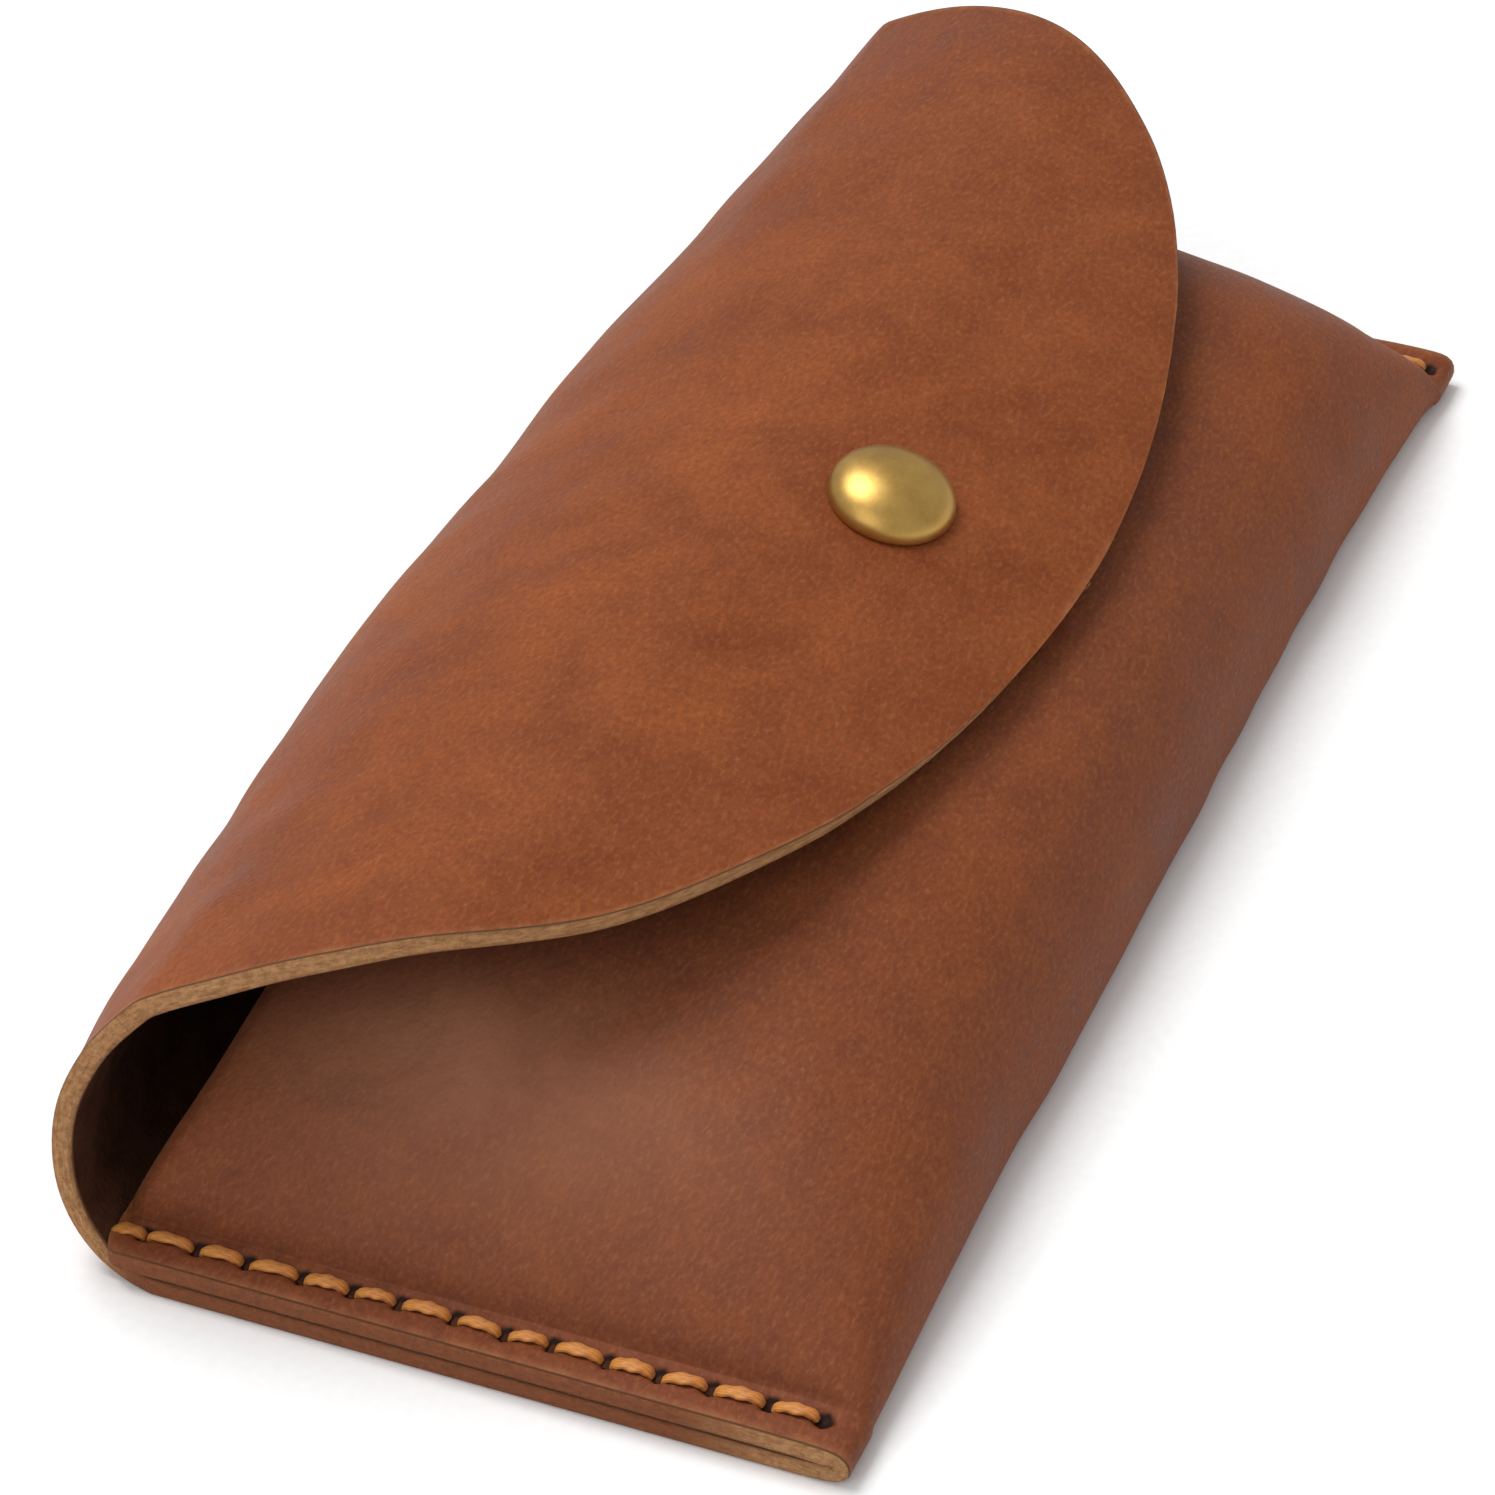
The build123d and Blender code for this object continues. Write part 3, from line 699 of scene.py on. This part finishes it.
def leather():
    """Grain side of a pull-up hide: waxy, mottled, with scuffs and a paler worn rim, with painted shade in
    the stitch holes and on the front panel, and a painted highlight on the front panel.
    """
    tree = Tree("pull_up_leather")
    place = tree.uv()
    zones = tree.noise(place, 17.0, 2.0, 0.5, 0.6)
    mottle = tree.noise(place, 75.0, 6.0, 0.62, 0.4)
    cloud = tree.noise(place, 330.0, 5.0, 0.6)
    speck = tree.noise(place, 1500.0, 4.0, 0.65)
    fibre = tree.noise(tree.stretched(place, (1100.0, 2300.0, 1.0), 28.0), 1.0, 4.0, 0.65)
    colour = tree.mix(tree.span(mottle, 0.34, 0.68), HIDE_DEEP, HIDE_LIGHT)
    colour = tree.mix(tree.span(zones, 0.50, 0.72, 0.0, 0.55), colour, HIDE_DULL)
    # mauve cast and painted shade: the front panel and the far flap are painted darker and more mauve
    mauve_and_shade = tree.math("MULTIPLY", tree.attribute("mauve_and_shade"), tree.span(zones, 0.35, 0.65, 0.28, 0.66))
    colour = tree.mix(mauve_and_shade, colour, HIDE_MAUVE_SHADE)
    colour = tree.mix(tree.span(cloud, 0.35, 0.75, 0.0, 0.40), colour, HIDE_BRIGHT)
    colour = tree.mix(tree.span(speck, 0.36, 0.60, 0.45, 0.0), colour, HIDE_SPECK)
    colour = tree.mix(tree.span(fibre, 0.50, 0.76, 0.0, 0.40), colour, HIDE_FIBRE)
    # painted highlight: the sheen on the front panel, painted as a paler colour
    painted_sheen = tree.math("MULTIPLY", tree.attribute("painted_sheen"), tree.span(mottle, 0.25, 0.6, 0.5, 1.0))
    colour = tree.mix(painted_sheen, colour, HIDE_PAINTED_SHEEN)
    near_rim = tree.span(tree.attribute("rim"), 0.0, 0.9, 0.55, 0.0)
    rim_wear = tree.math("MULTIPLY", near_rim, tree.span(cloud, 0.3, 0.7))
    colour = tree.mix(rim_wear, colour, HIDE_WORN)
    # painted shade: the holes are only shallow dents, so the shade inside them is painted nearly black
    dark_hole = tree.span(tree.attribute("hole"), 0.25, 0.7)
    colour = tree.mix(dark_hole, colour, HOLE_SHADE)
    cells = tree.node("ShaderNodeTexVoronoi", {"Vector": place, "Scale": 1900.0}, feature="F1")
    pores = cells.outputs["Distance"]
    grain = tree.math("ADD", tree.math("MULTIPLY", pores, 0.5), tree.math("MULTIPLY", speck, 0.9))
    fine = tree.bump(grain, 0.35, 0.00012)
    soft = tree.bump(tree.math("ADD", cloud, tree.math("MULTIPLY", mottle, 1.2)), 0.24, 0.0005, fine)
    tree.finish(colour, tree.span(tree.math("ADD", mottle, cloud), 0.7, 1.3, 0.46, 0.64), soft)
    tree.set(IOR=1.45, Specular_IOR_Level=0.12)
    return tree.material


def suede():
    """Flesh side: dark, matt and napped."""
    tree = Tree("flesh_side_suede")
    place = tree.uv()
    cloud = tree.noise(place, 210.0, 5.0, 0.65)
    nap = tree.noise(tree.stretched(place, (2200.0, 900.0, 1.0), 12.0), 1.0, 4.0, 0.7)
    colour = tree.mix(tree.span(cloud, 0.35, 0.7), NAP_DEEP, NAP_LIGHT)
    colour = tree.mix(tree.span(nap, 0.45, 0.8, 0.0, 0.5), colour, NAP_TIP)
    tree.finish(colour, tree.span(nap, 0.3, 0.7, 0.86, 0.98), tree.bump(nap, 0.6, 0.0003))
    tree.set(Specular_IOR_Level=0.12)
    return tree.material


def raw_edge():
    """Cut edge: pale fibrous core, darker at both skins."""
    tree = Tree("raw_cut_edge")
    place = tree.uv()
    depth = tree.node("ShaderNodeSeparateXYZ", {"Vector": place}).outputs["Y"]
    layers = tree.noise(tree.stretched(place, (500.0, 3000.0, 1.0)), 1.0, 4.0, 0.65)
    tuft = tree.noise(place, 1300.0, 4.0, 0.7)
    from_middle = tree.math("ABSOLUTE", tree.math("SUBTRACT", depth, 0.0009))
    colour = tree.mix(tree.span(layers, 0.3, 0.7), CORE_DARK, CORE_PALE)
    colour = tree.mix(tree.span(tuft, 0.42, 0.66, 0.0, 0.55), colour, CORE_SHADE)
    colour = tree.mix(tree.span(from_middle, 0.0005, 0.001, 0.0, 0.5), colour, EDGE_BORDER)
    rubbed = tree.mix(tree.span(tuft, 0.35, 0.65), RUBBED_DARK, RUBBED_LIGHT)
    colour = tree.mix(tree.span(tree.attribute("rim"), 0.0, -1.0, 0.0, 0.92), colour, rubbed)
    height = tree.math("ADD", tuft, layers)
    tree.finish(colour, tree.span(tuft, 0.3, 0.7, 0.72, 0.95), tree.bump(height, 0.9, 0.0004))
    tree.set(Specular_IOR_Level=0.25)
    return tree.material


def waxed_thread():
    """Twisted amber thread, paler and darker in patches."""
    tree = Tree("waxed_thread")
    place = tree.uv()
    strand = tree.noise(tree.stretched(place, (5200.0, 700.0, 1.0)), 1.0, 3.0, 0.6)
    patch = tree.noise(place, 260.0, 3.0, 0.5)
    colour = tree.mix(tree.span(strand, 0.3, 0.72), AMBER_DEEP, AMBER)
    colour = tree.mix(tree.span(patch, 0.42, 0.66, 0.0, 0.7), colour, AMBER_PALE)
    tree.finish(colour, tree.span(patch, 0.3, 0.7, 0.36, 0.52), tree.bump(strand, 0.7, 0.0002))
    tree.set(Specular_IOR_Level=0.5, Sheen_Weight=0.1)
    return tree.material


def antique_brass():
    """Satin brass with a little tarnish."""
    tree = Tree("antique_brass")
    place = tree.node("ShaderNodeTexCoord").outputs["Object"]
    tarnish = tree.noise(place, 260.0, 5.0, 0.6)
    brush = tree.noise(place, 2600.0, 3.0, 0.6)
    colour = tree.mix(tree.span(tarnish, 0.30, 0.70), BRASS_DARK, BRASS_LIGHT)
    colour = tree.mix(tree.span(brush, 0.5, 0.75, 0.0, 0.25), colour, BRASS_WORN)
    tree.finish(colour, tree.span(tarnish, 0.3, 0.7, 0.33, 0.41), tree.bump(brush, 0.06, 0.0001))
    tree.set(Metallic=1.0)
    return tree.material


def spring_steel():
    """Drawn steel wire."""
    tree = Tree("spring_steel")
    place = tree.node("ShaderNodeTexCoord").outputs["Object"]
    drawn = tree.noise(tree.stretched(place, (400.0, 4000.0, 4000.0)), 1.0, 3.0, 0.6)
    colour = tree.mix(tree.span(drawn, 0.3, 0.7), STEEL_DARK, STEEL_LIGHT)
    tree.finish(colour, tree.span(drawn, 0.3, 0.7, 0.22, 0.38), tree.bump(drawn, 0.2, 0.0001))
    tree.set(Metallic=1.0)
    return tree.material


def paper_floor():
    """Near-white paper with a fine tooth."""
    tree = Tree("pale_floor")
    place = tree.node("ShaderNodeTexCoord").outputs["Object"]
    tooth = tree.noise(place, 900.0, 3.0, 0.5)
    colour = tree.mix(tree.span(tooth, 0.3, 0.7), PAPER_LOW, PAPER_HIGH)
    tree.finish(colour, 0.9, tree.bump(tooth, 0.03, 0.0002))
    tree.set(Specular_IOR_Level=0.1)
    return tree.material


HIDE_MATERIALS = [leather(), suede(), raw_edge()]
THREAD = waxed_thread()
BRASS = antique_brass()
STEEL = spring_steel()

# ---------------------------------------------------------------- hide pieces
first_skin = front_rows + back_rows
row_of = [int(np.argmin(np.abs(skin_v - end))) + first_skin for end in PIECE_ENDS]
pocket_piece = hide_piece("hide_pocket", 0, row_of[0], HIDE_MATERIALS)
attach(pocket_piece, "pocket")
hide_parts("pocket_leather")


def border_points(row):
    """Every point of the hide in one row, across its thickness, in the shared frame."""
    rows_of_points = [outer_index[row], inner_index[row], edge_index["near"][row], edge_index["far"][row]]
    return to_frame(all_points[np.concatenate(rows_of_points)])


def widest_run(start, end):
    """Two points whose planes keep all of one border before and all of the other after."""
    best = None
    for degrees in range(0, 360, 2):
        way = np.array([0, math.cos(math.radians(degrees)), math.sin(math.radians(degrees))])
        low, high = (start @ way).max(), (end @ way).min()
        if best is None or high - low > best[1] - best[0]:
            best = (low, high, way)
    low, high, way = best
    centre = (start.mean(axis=0) + end.mean(axis=0)) / 2
    level = centre @ way
    return centre + way * (low - level), centre + way * (high - level)


for number, (low, high) in enumerate(zip(row_of, row_of[1:]), 1):
    bend = hide_piece(f"hide_bend_{number}", low, high, HIDE_MATERIALS)
    start, end = widest_run(border_points(low), border_points(high))
    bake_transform(bend)
for number in range(1, 5):
    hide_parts(f"roll_strip_{number}")
flap_piece = hide_piece("hide_flap", row_of[-1], rows - 1, HIDE_MATERIALS)
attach(flap_piece, "flap")
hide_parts("flap_leather")


# ---------------------------------------------------------------- stitching
def stitch_points(start, end, up, width, thick, sink, turns):
    """A flat twisted stitch from hole to hole, which starts and ends sunk: rings of points, and map."""
    stations, around = 26, 14
    side = np.cross(end - start, up)
    side = side / np.linalg.norm(side)
    t = np.linspace(0, 1, stations)
    lift = np.minimum(1, np.sin(math.pi * t) ** 0.3) * (thick / 2 + sink) - sink
    wide = width / 2 * (0.62 + 0.38 * np.sin(math.pi * t) ** 0.5)
    path = start + np.outer(t, end - start) + np.outer(lift, up)
    tangent = np.gradient(path, axis=0)
    tangent /= np.linalg.norm(tangent, axis=1, keepdims=True)
    over = np.cross(side, tangent)
    angle = np.linspace(0, 2 * math.pi, around, endpoint=False)
    ply = 1 + 0.10 * np.cos(2 * (angle[None, :] - 2 * math.pi * turns * t[:, None]))
    across = np.cos(angle)[None, :] * wide[:, None] * ply
    proud = np.sign(np.sin(angle)) * np.abs(np.sin(angle)) ** 0.8 * thick / 2
    rise = proud[None, :] * ply
    points = path[:, None] + across[..., None] * side + rise[..., None] * over[:, None]
    uv = np.stack(np.broadcast_arrays(angle[None, :] * thick, t[:, None] * STITCH), axis=-1)
    return points, uv


def tube_faces(stations, around, start):
    """Faces of a tube whose points are numbered from start, ring by ring."""
    index = start + np.arange(stations * around).reshape(stations, around)
    return quads(np.hstack([index, index[:, :1]]))


def join_tubes(name, tubes, body, nodes):
    """One object from tubes given as (points, uv) grids."""
    points, uvs, faces, start = [], [], [], 0
    for grid_points, grid_uv in tubes:
        stations, around = grid_points.shape[:2]
        faces.append(tube_faces(stations, around, start))
        points.append(grid_points.reshape(-1, 3))
        uvs.append(grid_uv.reshape(-1, 2))
        start += stations * around
    uv = np.concatenate(uvs) * MM
    obj = new_object(name, to_frame(np.concatenate(points)), np.concatenate(faces), [THREAD], uv=uv)
    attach(obj, body)
    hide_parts(*nodes)


UP = np.array([0.0, 0.0, 1.0])
top = LAYERS - LAYER_GAP
under = 0.62                                # the back stitches' middle line, in their groove
for name, places in holes.items():
    tubes = []
    for number in range(STITCHES - 1):
        x0, y0 = places[number]
        x1, y1 = places[number + 1]
        slant = rng.uniform(0.05, 0.2)
        twist = rng.uniform(0.8, 1.3)
        width = THREAD_WIDTH * rng.uniform(0.86, 1.08)
        start = np.array([x0 + slant, y0 + FRONT_INSET[0], top])
        end = np.array([x1 - slant, y1 - FRONT_INSET[1], top])
        tubes.append(stitch_points(start, end, UP, width, THREAD_THICK, FRONT_SINK, twist))
        start = np.array([x0 + BACK_SLANT, y0 + BACK_INSET, under])
        end = np.array([x1 - BACK_SLANT, y1 - BACK_INSET, under])
        back_width = width * 0.92
        tubes.append(stitch_points(start, end, -UP, back_width, BACK_THREAD_THICK, UNDER_SINK, -twist))
    # the last stitch goes over the mouth edge
    x0, y0 = places[-1]
    start = np.array([x0 + HOLE_SHIFT, y0 + 0.1, top])
    end = np.array([x0 - 0.2, POCKET_WIDTH + 0.5, top - 0.4])
    tubes.append(stitch_points(start, end, UP, THREAD_WIDTH, THREAD_THICK, LAST_SINK, 1.0))
    start = np.array([x0 + BACK_SLANT, y0 + BACK_INSET, under])
    end = np.array([x0 - BACK_SLANT, POCKET_WIDTH + 0.9, under + 0.2])
    back_width = THREAD_WIDTH * 0.9
    tubes.append(stitch_points(start, end, -UP, back_width, BACK_THREAD_THICK, UNDER_SINK, -1.0))
    threads = [f"{name}_seam_thread_a", f"{name}_seam_thread_b"]
    join_tubes(f"{name}_seam_stitches", tubes, "pocket", threads)


# ---------------------------------------------------------------- press snap
def turned(name, profile, material, body, node, slot, around=96):
    """A part turned about the snap's axis from (radius, height) points."""
    across = np.cross(snap_axis, [1.0, 0, 0])
    angle = np.linspace(0, 2 * math.pi, around, endpoint=False)
    ring = np.outer(np.cos(angle), [1.0, 0, 0]) + np.outer(np.sin(angle), across)
    profile = np.array(profile)
    points = snap_origin + profile[:, None, :1] * ring[None] + profile[:, None, 1:] * snap_axis
    faces = tube_faces(len(profile), around, 0)
    obj = new_object(name, to_frame(points.reshape(-1, 3)), faces, [material])
    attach(obj, body)
    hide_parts(node)


CAP_RADIUS = 6.25
CAP_HEIGHT = 4.0
DOME_POWER = 0.52                           # 0.5 makes the dome half of an ellipse
RIM_ROLL = 0.42                             # radius of the cap's rolled rim
dome = []
for t in np.linspace(0, 1, 40):
    radius = max(CAP_RADIUS * (1 - t), 0.01)
    part = radius / CAP_RADIUS
    dome.append((radius, RIM_ROLL + (CAP_HEIGHT - RIM_ROLL) * (1 - part**2) ** DOME_POWER))
rim_roll = []
for angle in np.radians(np.linspace(-110, -4, 9)):
    radius = CAP_RADIUS - RIM_ROLL + RIM_ROLL * math.cos(angle)
    rim_roll.append((radius, RIM_ROLL + RIM_ROLL * math.sin(angle) - 0.05))
# the tubular post with its flared end, then the underside of the cap
post = [(0.01, -2.9), (1.5, -2.9), (2.15, -2.95), (2.15, -2.8), (1.6, -2.75), (1.6, 0.0)]
under_cap = [(CAP_RADIUS - RIM_ROLL, 0.0)]
cap_profile = post + under_cap + rim_roll + dome
turned("snap_cap_shell", cap_profile, BRASS, "flap", "snap_cap", "antique_brass")
METAL_NODES = {"snap_socket": BRASS, "snap_stud": BRASS, "stud_post": BRASS, "socket_spring": STEEL}
for node, material in METAL_NODES.items():
    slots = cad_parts[node].data.materials
    slots.clear()
    slots.append(material)

# ---------------------------------------------------------------- floor, light and camera
CENTRE = (cad_low + cad_high) / 2
LONG = cad_high.x - cad_low.x
FLOOR = 9                                   # half side of the floor, in case lengths
WORLD_STRENGTH = 0.55
floor_corners = np.array([(-1, -1, 0), (1, -1, 0), (1, 1, 0), (-1, 1, 0)], float) * FLOOR * LONG
floor = new_object("studio_floor", floor_corners, [(0, 1, 2, 3)], [paper_floor()])
floor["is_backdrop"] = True

world = bpy.data.worlds.new("studio")
world.use_nodes = True
world.node_tree.nodes["Background"].inputs["Color"].default_value = (1.0, 1.0, 1.0, 1.0)
world.node_tree.nodes["Background"].inputs["Strength"].default_value = WORLD_STRENGTH
bpy.context.scene.world = world


def soft_box(name, place, size, watts):
    """A square soft light that faces the middle of the case; place and size are in case lengths."""
    data = bpy.data.lights.new(name, "AREA")
    data.shape = "RECTANGLE"
    data.size = data.size_y = size * LONG
    data.energy = watts
    lamp = bpy.data.objects.new(name, data)
    middle = Vector((CENTRE.x, CENTRE.y, 0))
    lamp.location = middle + Vector(place) * LONG
    lamp.rotation_euler = (middle - lamp.location).to_track_quat("-Z", "Y").to_euler()
    bpy.context.scene.collection.objects.link(lamp)


soft_box("key", place=(0.6, 2.3, 5.9), size=3.4, watts=7.9)
soft_box("fill", place=(-4.0, 0.5, 3.0), size=3.5, watts=1.2)

CAMERA_AZIMUTH = math.radians(-63.5)
CAMERA_ELEVATION = math.radians(38.7)
CAMERA_ROLL = math.radians(4.48)
CAMERA_DISTANCE = 2.934 * LONG
CAMERA_LENS = 127.66
CAMERA_SHIFT = (-0.0037, 0.0037)
CAMERA_AIM = (-0.0822, -0.0163, 0.0882)     # from under the middle of the case, in case lengths
target = Vector((CENTRE.x + CAMERA_AIM[0] * LONG, CENTRE.y + CAMERA_AIM[1] * LONG, CAMERA_AIM[2] * LONG))
forward = Vector((
    -math.sin(CAMERA_AZIMUTH) * math.cos(CAMERA_ELEVATION),
    math.cos(CAMERA_AZIMUTH) * math.cos(CAMERA_ELEVATION),
    -math.sin(CAMERA_ELEVATION),
))
level = forward.cross(Vector((0, 0, 1))).normalized()
right = level * math.cos(CAMERA_ROLL) + forward.cross(level) * math.sin(CAMERA_ROLL)
up = right.cross(forward)
camera_data = bpy.data.cameras.new("camera")
camera_data.lens = CAMERA_LENS
camera_data.shift_x, camera_data.shift_y = CAMERA_SHIFT
camera = bpy.data.objects.new("camera", camera_data)
turn = Matrix((right, up, -forward)).transposed().to_4x4()
camera.matrix_world = Matrix.Translation(target - forward * CAMERA_DISTANCE) @ turn
bpy.context.scene.collection.objects.link(camera)
bpy.context.scene.camera = camera
bpy.context.scene.view_settings.view_transform = "Standard"

low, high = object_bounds()
